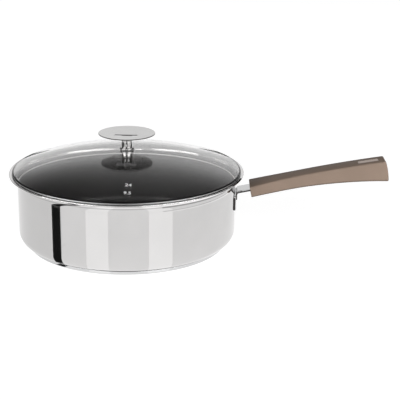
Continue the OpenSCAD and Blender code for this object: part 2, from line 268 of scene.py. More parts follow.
def group(name, inputs, outputs):
    """A new shader node group with these float or vector sockets; gives its tree and both ends."""
    tree = bpy.data.node_groups.new(name, "ShaderNodeTree")
    for socket, value in inputs.items():
        kind = "NodeSocketVector" if value is None else "NodeSocketFloat"
        made = tree.interface.new_socket(socket, in_out="INPUT", socket_type=kind)
        if value is not None:
            made.default_value = value
    for socket in outputs:
        tree.interface.new_socket(socket, in_out="OUTPUT", socket_type="NodeSocketFloat")
    return tree, tree.nodes.new("NodeGroupInput").outputs, tree.nodes.new("NodeGroupOutput")


def build_turned_grain():
    """Rings left by turning or wheel polishing: noise that is stretched round the Z axis. Its vector is
    (cos a, sin a, (r + z) times Density), so the pattern has no seam."""
    sockets = {"Vector": None, "Density": 2000.0, "Streaks": 1.5}
    tree, given, out = group("turned_grain", sockets, ["Height"])
    at = wire(tree, "SeparateXYZ", {"Vector": given["Vector"]})
    flat = wire(tree, "CombineXYZ", {"X": at.outputs["X"], "Y": at.outputs["Y"]})
    radius = wire(tree, "VectorMath", {0: flat.outputs[0]}, operation="LENGTH").outputs["Value"]
    around = wire(tree, "VectorMath", {0: flat.outputs[0]}, operation="NORMALIZE").outputs[0]
    around = wire(tree, "VectorMath", {0: around, "Scale": given["Streaks"]}, operation="SCALE")
    reach = calc(tree, "ADD", radius, at.outputs["Z"])
    reach = calc(tree, "MULTIPLY", reach, given["Density"])
    lift = wire(tree, "CombineXYZ", {"Z": reach}).outputs[0]
    place = wire(tree, "VectorMath", {0: around.outputs[0], 1: lift}, operation="ADD").outputs[0]
    noise = wire(tree, "TexNoise", {"Vector": place, "Scale": 1, "Detail": 3, "Roughness": 0.6})
    tree.links.new(noise.outputs[0], out.inputs["Height"])
    return tree


def build_handling_marks():
    """Broad soft smears of wiping and handling: two sizes of noise, multiplied and spread to 0..1."""
    tree, given, out = group("handling_marks", {"Vector": None, "Size": 30.0}, ["Mask"])
    at = given["Vector"]
    broad = wire(tree, "TexNoise", {"Vector": at, "Scale": given["Size"], "Detail": 4})
    wide = calc(tree, "MULTIPLY", given["Size"], 0.3)
    slow = wire(tree, "TexNoise", {"Vector": at, "Scale": wide, "Detail": 2, "Distortion": 0.8})
    product = calc(tree, "MULTIPLY", broad.outputs[0], slow.outputs[0])
    tree.links.new(carry(tree, product, 0.12, 0.42), out.inputs["Mask"])
    return tree


turned_grain = build_turned_grain()
handling_marks = build_handling_marks()


def material(name, **values):
    """A material with one Principled shader whose sockets take these values. Gives the material, its
    tree, the shader's inputs and the Object coordinates."""
    made = bpy.data.materials.new(name)
    made.use_nodes = True
    tree = made.node_tree
    shader = tree.nodes["Principled BSDF"]
    for socket, value in values.items():
        shader.inputs[socket.replace("_", " ")].default_value = value
    return made, tree, shader.inputs, wire(tree, "TexCoord").outputs["Object"]


def dress(piece, *materials):
    """Gives a piece these materials in place of any it has."""
    piece.data.materials.clear()
    for made in materials:
        piece.data.materials.append(made)


def blend(tree, share, first, second, how="MIX"):
    """Two colours, each a triple or a link, mixed by the share or combined as how says."""
    first, second = ((*c, 1) if isinstance(c, tuple) else c for c in (first, second))
    mixed = wire(tree, "Mix", {0: share, 6: first, 7: second}, data_type="RGBA", blend_type=how)
    return mixed.outputs[2]


def placed(tree, built, **inputs):
    """A node group placed in a material's tree with its own values, one per named input."""
    return wire(tree, "Group", inputs, node_tree=built).outputs[0]


def relief(tree, height, strength, depth, **under):
    """A Bump node's normal for that height, in metres of depth, over another normal if one is given."""
    values = {"Height": height, "Strength": strength, "Distance": depth, **under}
    return wire(tree, "Bump", values).outputs[0]


def link(tree, shader, **sources):
    """Links each source to the shader's socket of that name, with a space for an underscore."""
    for socket, source in sources.items():
        tree.links.new(source, shader[socket.replace("_", " ")])


wiped_share, grain_depth = 0.94, 0.02 * mm


def steel(name, tint, smooth, dull, density, strength, stops=()):
    """Turned or polished steel: handling marks spread the roughness, and turned grain lifts the normal.
    Stops are (height, share) pairs that scale the tint along Z, as painted light and shade, such as a
    brighter rim and a darker band under it."""
    made, tree, shader, at = material(name, Metallic=1.0)
    marks = placed(tree, handling_marks, Vector=at, Size=26)
    grain = placed(tree, turned_grain, Vector=at, Density=density, Streaks=1.2)
    tone = blend(tree, marks, tuple(wiped_share * c for c in tint), tint)
    if stops:
        z = wire(tree, "SeparateXYZ", {"Vector": at}).outputs["Z"]
        low, high = stops[0][0], stops[-1][0]
        stops = [((height - low) / (high - low), share) for height, share in stops]
        tone = blend(tree, 1.0, tone, ramp(tree, carry(tree, z, low, high), *stops), "MULTIPLY")
    link(tree, shader, Base_Color=tone, Roughness=carry(tree, marks, 0, 1, smooth, dull),
         Normal=relief(tree, grain, strength, grain_depth))
    return made


# Painted light and shade on the pan's steel: the tint is 0.8 on the wall, a painted shade band of 0.62
# at 75.1 to 76.3 mm, and a painted highlight of about 1 on the rolled rim above 77 mm.
painted_rim_light_stops = ((74.6 * mm, 0.8), (75.1 * mm, 0.62), (76.3 * mm, 0.62), (77 * mm, 0.98), (82 * mm, 1.0))
pan_steel = steel("pan_steel", (0.763, 0.753, 0.75), 0.04, 0.07, 2200, 0.05, painted_rim_light_stops)

pan_profile = np.vstack((
    [[fan_r, base_h]],
    arc((wall_r - corner_r, base_h + corner_r), corner_r, -90, 0, 20),
    np.column_stack((np.full(16, wall_r),
                     np.linspace(base_h + corner_r + 1 * mm, rim_z - 0.5 * mm, 16))),
    arc((rim_c, rim_z), rim_bend_r - wall_t, 180, 90, 22),
    arc((rim_c, pan_top - wall_t / 2), wall_t / 2, -90, 90, 12)[1:-1],
    arc((rim_c, rim_z), rim_bend_r, 90, 180, 24),
    np.column_stack((np.full(12, inner_r), np.linspace(rim_z - 0.5 * mm, floor_z + corner_r, 12))),
    arc((inner_r - corner_r + wall_t, floor_z + corner_r - wall_t), corner_r - wall_t, 0, -90, 16),
    [[fan_r, floor_z]],
))
pan_body = revolve("pan_body", pan_profile)
dress(pan_body, pan_steel)
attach(pan_body, "pan")
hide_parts("pan_shell")

# What the steel mirrors. The upright wall shows the table in front of it, with two bright strips, a
# black one and a grey one. The rolled rim shows a bright band with a shade under it, and the lip's
# right end a dark line. Each card lies where the camera sees it in the steel.
corner_low, corner_steps, wall_steps, flare_steps = 50, 10, 8, 9
card_lies, rim_card_lies = 0.4 * mm, 70 * mm
camera_side = math.atan2(camera_place.y, camera_place.x)


def wall_down(columns):
    """Radius, height and downward tilt in rows down the wall and its corner, alike in each column."""
    drop = np.radians(np.linspace(0, corner_low, corner_steps))
    straight = np.linspace(rim_z, base_h + corner_r, wall_steps)[:-1]
    r = np.concatenate((np.full(len(straight), wall_r), wall_r - corner_r * (1 - np.cos(drop))))
    z = np.concatenate((straight, base_h + corner_r * (1 - np.sin(drop))))
    tilt = np.concatenate((np.zeros(len(straight)), drop))
    return [np.repeat(part[:, None], len(columns), 1) for part in (r, z, tilt)]


def flare_up(columns, low=0.06, high=0.94):
    """Radius, height and downward tilt in rows up the outside of the rolled rim, between two shares of
    the last tilt that faces the camera, whose tangent is the view's level part over its fall."""
    level = np.cos(columns - camera_side) * math.hypot(camera_look.x, camera_look.y)
    last = np.arctan2(level, -camera_look.z)
    tilt = np.linspace(low, high, flare_steps)[:, None] * last
    outer_r = rim_bend_r - wall_t
    return rim_c - outer_r * np.cos(tilt), rim_z + outer_r * np.sin(tilt), tilt


def lip_over(columns):
    """Radius, height and downward tilt in rows over the lip, from the roll's top to its outside."""
    roll, lip = np.radians(np.linspace(78, 90, 5)), np.radians(np.linspace(10, 50, 4))
    r = np.concatenate((rim_c - rim_bend_r * np.cos(roll), rim_c + wall_t / 2 * np.sin(lip)))
    z = np.concatenate((rim_z + rim_bend_r * np.sin(roll), pan_top - wall_t / 2 * (1 - np.cos(lip))))
    tilt = np.concatenate((roll - np.pi, lip - np.pi / 2))
    return [np.repeat(part[:, None], len(columns), 1) for part in (r, z, tilt)]


def card(name, points, level):
    """A glowing sheet over a grid of points that only mirrors show."""
    rows, columns = points.shape[:2]
    index = np.arange(rows * columns).reshape(rows, columns)
    quads = np.stack((index[:-1, :-1], index[:-1, 1:], index[1:, 1:], index[1:, :-1]), -1)
    data = bpy.data.meshes.new(name)
    data.from_pydata(points.reshape(-1, 3).tolist(), [], quads.reshape(-1, 4).tolist())
    paint = bpy.data.materials.new(name)
    paint.use_nodes = True
    tree = paint.node_tree
    tree.nodes.remove(tree.nodes["Principled BSDF"])
    shine = wire(tree, "Emission", {"Color": (level, level, level, 1), "Strength": 1})
    tree.links.new(shine.outputs[0], tree.nodes["Material Output"].inputs["Surface"])
    data.materials.append(paint)
    sheet = new_object(name, data)
    sheet.visible_camera = sheet.visible_diffuse = False
    sheet.visible_shadow = sheet.visible_transmission = False


def mirrored_card(name, start, end, level, rows, lies=card_lies):
    """A flat card that fills part of the steel's outside between two azimuths (degrees, from the
    camera's side, to the right). For each point p with normal n the camera's ray v turns to
    r = v - 2 (v . n) n, and the card's point is p + t r with t = (lies - p_z) / r_z."""
    a = camera_side + np.radians(np.linspace(start, end, 13))
    r, z, tilt = rows(a)
    p = np.stack((r * np.cos(a), r * np.sin(a), z + 0 * a), -1)
    n = np.stack((np.cos(tilt) * np.cos(a), np.cos(tilt) * np.sin(a), -np.sin(tilt) + 0 * a), -1)
    v = p - np.array(camera_place)
    v /= np.linalg.norm(v, axis=-1, keepdims=True)
    ray = v - 2 * (v * n).sum(-1, keepdims=True) * n
    card(name, p + ray * ((lies - p[..., 2:]) / ray[..., 2:]), level)


mirrored_card("light_card_left", -20.7, -9.5, 1.3, wall_down)
mirrored_card("light_card_right", 10.35, 22.5, 1.3, wall_down)
mirrored_card("black_card", -40.4, -34.8, 0.012, wall_down)
mirrored_card("grey_card", -84, -41, 0.93, wall_down, card_lies / 2)
mirrored_card("rim_card", 17, 60, 1.3, lambda columns: flare_up(columns, 0.42), rim_card_lies)
mirrored_card("rim_shade", 17, 60, 0.72, lambda columns: flare_up(columns, 0.2, 0.42), rim_card_lies)
mirrored_card("lip_flag", 60, 74, 0.01, lip_over, pan_top + 2 * card_lies)

# Cards that draw the lid's outline. The dome's far edge is seen at a glancing angle, so it mirrors the
# table straight behind it. A black card lies there on the left and another on the right, each between
# two slopes (metres to the right per metre away from the camera), and both turn up at their far end.
outline_near, outline_far, outline_rise = 0.33, 1.5, 0.05
outline_rows = (outline_near, card_lies), (outline_far, card_lies), (outline_far, outline_rise)
for name, slopes in (("outline_card_left", (-0.8, -0.18)), ("outline_card_right", (0.015, 0.6))):
    points = [[[camera_place.x + slope * (y - camera_place.y), y, z] for slope in slopes]
              for y, z in outline_rows]
    card(name, np.array(points), 0.01)

# The camera's stand. It is black, and the knob's stem mirrors its foot as a dark line.
foot_near, foot_far, foot_flare = 0.36, 1.95, 0.2
outwards = np.array([math.cos(camera_side), math.sin(camera_side)])
sideways = outwards[::-1] * (-1, 1)
foot = [[[*(away * (outwards + share * sideways)), card_lies] for share in (-foot_flare, foot_flare)]
        for away in (foot_near, foot_far)]
card("stand_foot", np.array(foot), 0.02)


# Non-stick lining. A dark coating of 0.3 mm covers the floor and the wall up to 13.6 mm below the
# rim. It is satin, with fine light specks in it.
lining_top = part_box("nonstick_lining")[1].z
lining_t = 0.3 * mm
bowl_r, bowl_c = inner_r - lining_t, corner_r - wall_t - lining_t
bowl_z = floor_z + lining_t


def build_specks():
    """Fine specks: a cell pattern whose cell centres stand out. Density is in cells per metre."""
    tree, given, out = group("specks", {"Vector": None, "Density": 1500.0, "Share": 0.3}, ["Mask"])
    cells = wire(tree, "TexVoronoi", {"Vector": given["Vector"], "Scale": given["Density"]})
    spot = calc(tree, "SUBTRACT", given["Share"], cells.outputs["Distance"])
    tree.links.new(carry(tree, spot, 0, 0.15), out.inputs["Mask"])
    return tree


specks = build_specks()
coating, tree, shader, at = material("non_stick_coating", Metallic=0.0)
dots = placed(tree, specks, Vector=at, Density=900, Share=0.22)
marks = placed(tree, handling_marks, Vector=at, Size=18)
tone = blend(tree, dots, (0.022, 0.021, 0.021), (0.075, 0.072, 0.07))
link(tree, shader, Base_Color=tone, Roughness=carry(tree, marks, 0, 1, 0.34, 0.46),
     Normal=relief(tree, dots, 0.2, grain_depth))

lining_profile = np.vstack((
    [[fan_r, floor_z]],
    arc((inner_r - corner_r + wall_t, floor_z + corner_r - wall_t), corner_r - wall_t, -90, 0, 16),
    [[inner_r, lining_top - 0.2 * mm]],
    arc((inner_r - lining_t, lining_top - lining_t), lining_t, 0, 90, 5)[1:],
    [[bowl_r, lining_top - lining_t - 0.1 * mm]],
    arc((bowl_r - bowl_c, bowl_z + bowl_c), bowl_c, 0, -90, 16),
    [[fan_r, bowl_z]],
))
lining = revolve("pan_lining", lining_profile)
dress(lining, coating)
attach(lining, "pan")
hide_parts("nonstick_lining")


# Edge of the lining. A fine bead is turned into the steel wall where the coating ends, so that it
# stops at a clean line. Its pale, mostly non-metallic tone is a painted highlight along that line.
bead_r = 0.6 * mm
bead_profile = np.vstack((
    arc((inner_r, lining_top + bead_r), bead_r, 90, 270, 12),
    [[inner_r + wall_t / 2, lining_top + bead_r]],
))
bead = revolve("lining_edge_bead", bead_profile, looped=True)
bead_highlight_steel = steel("turned_bead_steel", (0.9, 0.89, 0.88), 0.4, 0.48, 3000, 0.1)
bead_highlight_steel.node_tree.nodes["Principled BSDF"].inputs["Metallic"].default_value = 0.2
dress(bead, bead_highlight_steel)
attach(bead, "pan")


# Encapsulated base. An aluminium disc is brazed under the floor, and a thin steel cup is pressed
# over it. A dark seam stays open between the cup's edge and the pan.
cup_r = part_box("base_cup")[1].x
cup_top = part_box("base_cup")[1].z
cup_t, cup_edge_r = 0.6 * mm, 1.4 * mm

cup_profile = np.vstack((
    [[fan_r, 0]],
    arc((cup_r - cup_edge_r, cup_edge_r), cup_edge_r, -90, 0, 10),
    arc((cup_r - cup_t / 2, cup_top - cup_t / 2), cup_t / 2, 0, 180, 9),
    [[cup_r - cup_t, cup_t], [fan_r, cup_t]],
))
cup = revolve("base_cup_steel", cup_profile)
dress(cup, steel("base_steel", (0.64, 0.64, 0.645), 0.1, 0.16, 1500, 0.12))
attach(cup, "pan")
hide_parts("base_cup")

aluminium, tree, shader, at = material("brazed_aluminium", Metallic=1.0)
grain = placed(tree, turned_grain, Vector=at, Density=900, Streaks=2.0)
tone = blend(tree, grain, (0.03, 0.028, 0.026), (0.09, 0.085, 0.08))
link(tree, shader, Base_Color=tone, Roughness=carry(tree, grain, 0, 1, 0.55, 0.75))
dress(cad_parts["heat_spreader"], aluminium)


# Handle bracket. A strap of 1.7 mm steel is welded to the wall with a curved plate, turned out in a
# tight bend and run into the grip as a tang.
bend_x, bend_z, bend_r, bracket_t = 125.125 * mm, 58.4 * mm, 2 * mm, 1.7 * mm
rise = math.radians(11.7)
strap_w, strap_l, tang_w, tang_l, tang_play = 24 * mm, 13.2 * mm, 13 * mm, 52 * mm, 0.15 * mm
plate_w, plate_z, plate_corner_r = 38 * mm, 41.5 * mm, 3 * mm
leg_h = 1.5 * (bend_r + bracket_t)
bend_mid = bend_r + bracket_t / 2
steel_edge_r = 0.35 * mm


def rounded(half_w, half_h, radius, steps=5, sides=4):
    """Outline of a rectangle with rounded corners: four quarter arcs, each followed by points along the
    straight side that leads to the next."""
    centres = [(half_w - radius, half_h - radius), (radius - half_w, half_h - radius),
               (radius - half_w, radius - half_h), (half_w - radius, radius - half_h)]
    quarters = [arc(c, radius, 90 * i, 90 * i + 90, steps) for i, c in enumerate(centres)]
    share = np.linspace(0, 1, sides + 2)[1:-1, None]
    loop = []
    for i, quarter in enumerate(quarters):
        following = quarters[(i + 1) % len(quarters)][0]
        loop += [quarter, quarter[-1] + share * (following - quarter[-1])]
    return np.vstack(loop)


def strap_surface():
    """The strap's section carried along its path: up the wall, round the bend and out along the tang,
    where it narrows. A point is path + y across + n times the path's normal."""
    leg_x = bend_x - bend_mid
    a = np.linspace(np.pi, np.pi / 2 + rise, 14)
    path = np.vstack(([[leg_x, bend_z - leg_h], [leg_x, bend_z - leg_h / 2]],
                      np.column_stack((bend_x + bend_mid * np.cos(a), bend_z + bend_mid * np.sin(a)))))
    out = np.array([np.cos(rise), np.sin(rise)])
    step_at, tang_steps = strap_l - tang_play, 7
    along = np.concatenate((np.linspace(0, step_at, 4)[1:],
                            np.linspace(step_at, strap_l + tang_l, tang_steps)))[:, None]
    path = np.vstack((path, path[-1] + along * out))
    normal = np.vstack(([[-1, 0]] * 2, np.column_stack((np.cos(a), np.sin(a))),
                        [[-np.sin(rise), np.cos(rise)]] * len(along)))
    broad, narrow = (rounded(w / 2, bracket_t / 2, steel_edge_r) for w in (strap_w, tang_w))
    in_grip = np.arange(len(path))[:, None] >= len(path) - tang_steps
    y = np.where(in_grip, narrow[:, 0], broad[:, 0])
    n = np.where(in_grip, narrow[:, 1], broad[:, 1])
    return np.stack((path[:, :1] + normal[:, :1] * n, y, path[:, 1:] + normal[:, 1:] * n), -1)


def plate_surface():
    """The weld plate: its rounded outline, shrunk in rings, laid on the wall's cylinder as
    (r cos(s / r), r sin(s / r), z), on the inside at the wall and on the outside one thickness off."""
    outline = rounded(plate_w / 2, (bend_z - plate_z) / 2, plate_corner_r, 8, 8)
    middle = (bend_z + plate_z) / 2
    edge = steel_edge_r * (1 - np.cos(np.linspace(0, np.pi / 2, 4)))
    lift = steel_edge_r * np.sin(np.linspace(0, np.pi / 2, 4))
    shrink = np.concatenate(([0.3, 0.65, 1], np.full(4, 1), [0.8, 0.6, 0.4, 0.2]))
    inset = np.concatenate(([0, 0, 0], edge, np.full(4, edge[-1])))
    r = wall_r + np.concatenate(([0, 0, 0], bracket_t - steel_edge_r + lift, np.full(4, bracket_t)))
    size = np.array([plate_w / 2, (bend_z - plate_z) / 2])
    scale = shrink[:, None] * (1 - inset[:, None] / size)
    s, z = outline[:, 0] * scale[:, :1], middle + outline[:, 1] * scale[:, 1:]
    r = r[:, None]
    return np.stack((r * np.cos(s / wall_r), r * np.sin(s / wall_r), z), -1)


def combine(piece, tool, how):
    """Joins the tool to the piece, or cuts it out, as exact solids, and takes the tool away."""
    step = piece.modifiers.new("combine", "BOOLEAN")
    step.operation, step.object, step.solver = how, tool, "EXACT"
    bpy.context.view_layer.update()
    whole = bpy.data.meshes.new_from_object(piece.evaluated_get(bpy.context.evaluated_depsgraph_get()))
    piece.modifiers.clear()
    piece.data = whole
    bpy.data.objects.remove(tool)
    whole.shade_smooth()
    whole.set_sharp_from_angle(angle=math.radians(35))


def handle_points(u, y, w):
    """The handle's frame in space: u runs along the strap from the bend's end, y across and w square
    to both."""
    lift = bend_mid + w
    return np.stack((bend_x + u * np.cos(rise) - lift * np.sin(rise), y + 0 * u,
                     bend_z + u * np.sin(rise) + lift * np.cos(rise)), -1)


def handle_drill(name, u, profile, columns=48):
    """A round tool in the handle's frame: a profile of (radius, w) points turned about a line at u."""
    t = np.linspace(0, 2 * np.pi, columns, endpoint=False)
    r, w = profile[:, :1], profile[:, 1:]
    return skin(name, handle_points(u + r * np.cos(t), r * np.sin(t), w + 0 * t))


grip_screw_u, clearance_r = strap_l + 38 * mm, 2.75 * mm
bracket = skin("handle_bracket_steel", strap_surface())
combine(bracket, skin("weld_plate", plate_surface()), "UNION")
hole = np.array([[clearance_r, -3 * bracket_t], [clearance_r, 3 * bracket_t]])
combine(bracket, handle_drill("tang_hole", grip_screw_u, hole), "DIFFERENCE")
bracket_steel = steel("bracket_steel", (0.66, 0.66, 0.665), 0.07, 0.12, 1400, 0.08)
# The cut edges' near-black tint is painted shade, not the steel's own colour.
painted_shade_edge_steel = steel("painted_shade_cut_edge", (0.07, 0.066, 0.064), 0.4, 0.55, 5000, 0.3)
dress(bracket, bracket_steel, painted_shade_edge_steel)


def face_values(piece, field):
    """The centres or normals of a piece's faces, one row each."""
    values = np.zeros(len(piece.data.polygons) * 3)
    piece.data.polygons.foreach_get(field, values)
    return values.reshape(-1, 3)


# Faces that look sideways are the sheet's cut edges; their near-black tint is painted shade.
cut_lean = 0.72
cut = np.abs(face_values(bracket, "normal")[:, 1]) > cut_lean
bracket.data.polygons.foreach_set("material_index", cut.astype(np.int32))
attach(bracket, "pan")
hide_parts("handle_bracket")


# Grip. It is moulded in one piece of taupe phenolic plastic, four-sided, with a crowned top, a
# flare towards the pan and a deeper, curved heel. The tang sits in a socket in its end.
grip_l, grip_half, flare_w, flare_l = 153 * mm, 12.5 * mm, 4.3 * mm, 70 * mm
grip_top, crown_drop, grip_under = 6.8 * mm, 1.9 * mm, 6.8 * mm
heel_drop, heel_start, end_bulge = 11.4 * mm, 35 * mm, 1.1 * mm
grip_edge_r, mouth_edge_r, bulge_run, grip_steps = 1.4 * mm, 0.7 * mm, 40 * mm, (7, 6)
least_edge_r, socket_edge_r = 0.3 * mm, 0.1 * mm
grip_head_r, head_play, grip_web = 4.3 * mm, 0.4 * mm, 1.8 * mm


def arc_radius(length, drop):
    """Radius of the arc that falls by drop over length from its level point."""
    return (length ** 2 + drop ** 2) / (2 * drop)


crown_r = arc_radius(grip_l / 2, crown_drop)
heel_r = arc_radius(grip_l - heel_start, heel_drop)
flare_r = arc_radius(flare_l, flare_w)


def grip_top_at(s):
    """Height of the grip's top at s: one shallow arc, highest in the middle."""
    return grip_top - crown_r + np.sqrt(crown_r ** 2 - (s - grip_l / 2) ** 2)


def grip_surface():
    """Rounded rectangles along the grip. Their half width adds the flare's arc, their top the crown's
    and their bottom the heel's. Both ends shrink over a quarter round; the pan's end then turns in to
    the tang's socket, and the far end bulges by its own arc."""
    quarter = np.linspace(0, np.pi / 2, 6)
    near = mouth_edge_r * (1 - np.cos(quarter))
    far = grip_l - grip_edge_r * (1 - np.cos(quarter[::-1]))
    middle = np.linspace(mouth_edge_r, grip_l - grip_edge_r, 70)[1:-1]
    s = np.concatenate((near, middle, far))
    inset = np.concatenate((mouth_edge_r * (1 - np.sin(quarter)), 0 * middle,
                            grip_edge_r * (1 - np.sin(quarter[::-1]))))
    flare = flare_r - np.sqrt(flare_r ** 2 - np.clip(flare_l - s, 0, None) ** 2)
    heel = heel_r - np.sqrt(heel_r ** 2 - np.clip(s - heel_start, 0, None) ** 2)
    half_w, top, bottom = grip_half + flare - inset, grip_top_at(s) - inset, -grip_under - heel + inset
    loops = []
    for w, t, b, i in zip(half_w, top, bottom, inset):
        section = rounded(w, (t - b) / 2, max(grip_edge_r - i * 0.6, least_edge_r), *grip_steps)
        loops.append(section + (0, (t + b) / 2))
    loops = np.array(loops)
    end_half = (grip_top + grip_under + heel_drop) / 2
    end_r, end_mid = arc_radius(end_half, end_bulge), grip_top - end_half
    caps = np.array([0.75, 0.5, 0.25])[:, None, None]
    centre = loops[-1].mean(0)
    loops = np.concatenate((loops, centre + caps * (loops[-1] - centre)))
    socket = rounded(tang_w / 2 + tang_play, bracket_t / 2 + tang_play, socket_edge_r, *grip_steps)
    loops = np.concatenate((np.stack((socket, socket)), loops))
    s = np.concatenate(([tang_l + tang_play, 0], s, np.full(len(caps), grip_l)))[:, None]
    y, w = loops[..., 0], loops[..., 1]
    sag = end_r - np.sqrt(end_r ** 2 - (w - end_mid) ** 2)
    share = np.clip((s - grip_l + bulge_run) / bulge_run, 0, 1) ** 2
    return handle_points(strap_l + s - sag * share, y, w)


grip = skin("grip_body", grip_surface())
seat_w = -bracket_t / 2 - tang_play - grip_web
insert_r, insert_top, bore_low = 3.7 * mm, bracket_t / 2 + tang_play + 3.8 * mm, -20 * mm
bore = np.array([[grip_head_r + head_play, bore_low], [grip_head_r + head_play, seat_w],
                 [clearance_r, seat_w], [clearance_r, 0], [insert_r, 0], [insert_r, insert_top]])
combine(grip, handle_drill("grip_bore", grip_screw_u, bore), "DIFFERENCE")

inlay_l, inlay_w, inlay_t, inlay_back = 22.4 * mm, 8.4 * mm, 1 * mm, 19 * mm
inlay_play, inlay_sink, inlay_corner_r = 0.1 * mm, 0.1 * mm, 0.8 * mm


def inlay_block(name, margin, low, high, edge):
    """The inlay's rounded outline, grown by margin, between two depths below the grip's top, laid along
    the crown. Its edges are broken by edge."""
    s_mid = grip_l - inlay_back
    outline = rounded(inlay_l / 2 + margin, inlay_w / 2 + margin, inlay_corner_r + margin, 6, 6)
    inner = rounded(inlay_l / 2 + margin - edge, inlay_w / 2 + margin - edge, inlay_corner_r, 6, 6)
    rings = np.stack((inner * 0.5, inner, outline, outline, inner, inner * 0.5))
    depth = np.array([low, low, low + edge, high - edge, high, high])[:, None]
    s = s_mid + rings[..., 0]
    return skin(name, handle_points(strap_l + s, rings[..., 1], grip_top_at(s) + depth))


pocket = inlay_block("inlay_pocket", inlay_play, -inlay_t - inlay_sink, 1 * mm, 0.02 * mm)
combine(grip, pocket, "DIFFERENCE")


def build_moulded_skin():
    """The fine spark-eroded texture of a mould: two sizes of noise added up, in grains per metre."""
    tree, given, out = group("moulded_skin", {"Vector": None, "Density": 2500.0}, ["Height"])
    fine = wire(tree, "TexNoise", {"Vector": given["Vector"], "Scale": given["Density"], "Detail": 2})
    coarse = calc(tree, "MULTIPLY", given["Density"], 0.35)
    broad = wire(tree, "TexNoise", {"Vector": given["Vector"], "Scale": coarse, "Detail": 1})
    tree.links.new(calc(tree, "ADD", fine.outputs[0], broad.outputs[0]), out.inputs["Height"])
    return tree


# The top is crowned across as well, by a relief of height 1 - (y / half width)^2, and faces that
# look down are darker by painted shade.
crown_relief, skin_relief = 1.3 * mm, 0.05 * mm
painted_underside_shade_stops = ((0, 0.4), (0.38, 0.42), (0.49, 1))
moulded_skin = build_moulded_skin()
taupe, tree, shader, at = material("taupe_plastic", Specular_IOR_Level=0.06)
grain = placed(tree, moulded_skin, Vector=at, Density=2500)
marks = placed(tree, handling_marks, Vector=at, Size=40)
tone = blend(tree, marks, (0.266, 0.2, 0.157), (0.298, 0.224, 0.177))
across = wire(tree, "SeparateXYZ", {"Vector": at}).outputs["Y"]
across = calc(tree, "DIVIDE", across, grip_half)
crown = calc(tree, "SUBTRACT", 1, calc(tree, "MULTIPLY", across, across))
crowned = relief(tree, crown, 1, crown_relief)
facing_up = wire(tree, "SeparateXYZ", {"Vector": wire(tree, "TexCoord").outputs["Normal"]}).outputs["Z"]
# Painted shade: the tone darkens on faces that look down.
under = ramp(tree, carry(tree, facing_up, -1, 1), *painted_underside_shade_stops)
tone = blend(tree, 1.0, tone, under, "MULTIPLY")
link(tree, shader, Base_Color=tone, Roughness=carry(tree, marks, 0, 1, 0.5, 0.6),
     Normal=relief(tree, grain, 0.25, skin_relief, Normal=crowned))
dress(grip, taupe)
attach(grip, "pan")
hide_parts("grip")


# Inlay. A small plain plate of satin anodised aluminium, pressed into the grip's top near its end.
# It is finely brushed along its length.
inlay = inlay_block("grip_inlay_plate", 0, -inlay_t - inlay_sink, -inlay_sink, 0.15 * mm)
anodised, tree, shader, at = material("anodised_inlay", Metallic=0.6)
lines = wire(tree, "Mapping", {"Vector": at, "Scale": (60, 4000, 4000)}).outputs[0]
brush = wire(tree, "TexNoise", {"Vector": lines, "Scale": 1, "Detail": 3}).outputs[0]
tone = blend(tree, brush, (0.6, 0.49, 0.43), (0.72, 0.6, 0.53))
link(tree, shader, Base_Color=tone, Roughness=carry(tree, brush, 0, 1, 0.34, 0.5),
     Normal=relief(tree, brush, 0.15, grain_depth))
dress(inlay, anodised)
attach(inlay, "pan")
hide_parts("grip_inlay")


# Grip fixing. A hexagon-socket screw goes up through a lock washer, the grip and the tang into a
# brass insert. All of it is turned stock, and keeps its CAD shape.
zinc_steel = steel("turned_screw_steel", (0.56, 0.56, 0.57), 0.22, 0.34, 4000, 0.2)
brass = steel("turned_brass", (0.75, 0.56, 0.27), 0.2, 0.32, 3000, 0.2)
for node, made in (("grip_insert", brass), ("grip_lock_washer", zinc_steel), ("grip_screw", zinc_steel)):
    dress(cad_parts[node], made)


# Lid glass. A disc of clear tempered glass is slumped to a shallow dome, with a hole for the knob's
# screw. Its thick edge is ground round, and it rests on the pan's rolled rim.
glass_t, lid_inset, dome_rise = 3.5 * mm, 3.5 * mm, 21.2 * mm
seat_gap, glass_hole_r, ground_in = 0.3 * mm, 4 * mm, 0.25 * mm
edge_r = rim_c + wall_t / 2 - lid_inset - glass_t / 2
seat = rim_bend_r + seat_gap + glass_t / 2
edge_z = rim_z + math.sqrt(seat ** 2 - (rim_c - edge_r) ** 2)
dome_r = arc_radius(edge_r, dome_rise)
dome_z = edge_z + dome_rise - dome_r
edge_tilt = math.degrees(math.asin(edge_r / dome_r))


def dome_arc(radius, first_r, last_r, steps):
    """Points of the dome's arc of this radius, from one distance off the axis to another."""
    r = np.linspace(first_r, last_r, steps)
    return np.column_stack((r, dome_z + np.sqrt(radius ** 2 - r ** 2)))


upper_r, under_r = dome_r + glass_t / 2, dome_r - glass_t / 2
face_out = math.sin(math.radians(edge_tilt))
glass_profile = np.vstack((
    dome_arc(upper_r, glass_hole_r, upper_r * face_out - ground_in, 40),
    [[upper_r * face_out, dome_z + math.sqrt(upper_r ** 2 - (upper_r * face_out) ** 2)]],
    arc((edge_r, edge_z), glass_t / 2, 90 - edge_tilt, -90 - edge_tilt, 18)[1:-1],
    dome_arc(under_r, under_r * face_out, glass_hole_r, 40),
))
lid_pane = revolve("lid_pane", glass_profile, looped=True, crease=50)

# The clear glass is Transparent for shadow rays, so it lets the lamps' light through.
glass_tint = (0.985, 0.98, 0.978, 1)
clear_glass, tree, shader, at = material("lid_clear_glass", Base_Color=glass_tint, Metallic=0.0,
                                         Transmission_Weight=1.0, IOR=1.5)
marks = placed(tree, handling_marks, Vector=at, Size=14)
link(tree, shader, Roughness=carry(tree, marks, 0, 1, 0, 0.003))
clear = wire(tree, "BsdfTransparent", {"Color": glass_tint}).outputs[0]
shadow = wire(tree, "LightPath").outputs["Is Shadow Ray"]
glass = tree.nodes["Principled BSDF"].outputs[0]
either = wire(tree, "MixShader", {0: shadow, 1: glass, 2: clear})
tree.links.new(either.outputs[0], tree.nodes["Material Output"].inputs["Surface"])
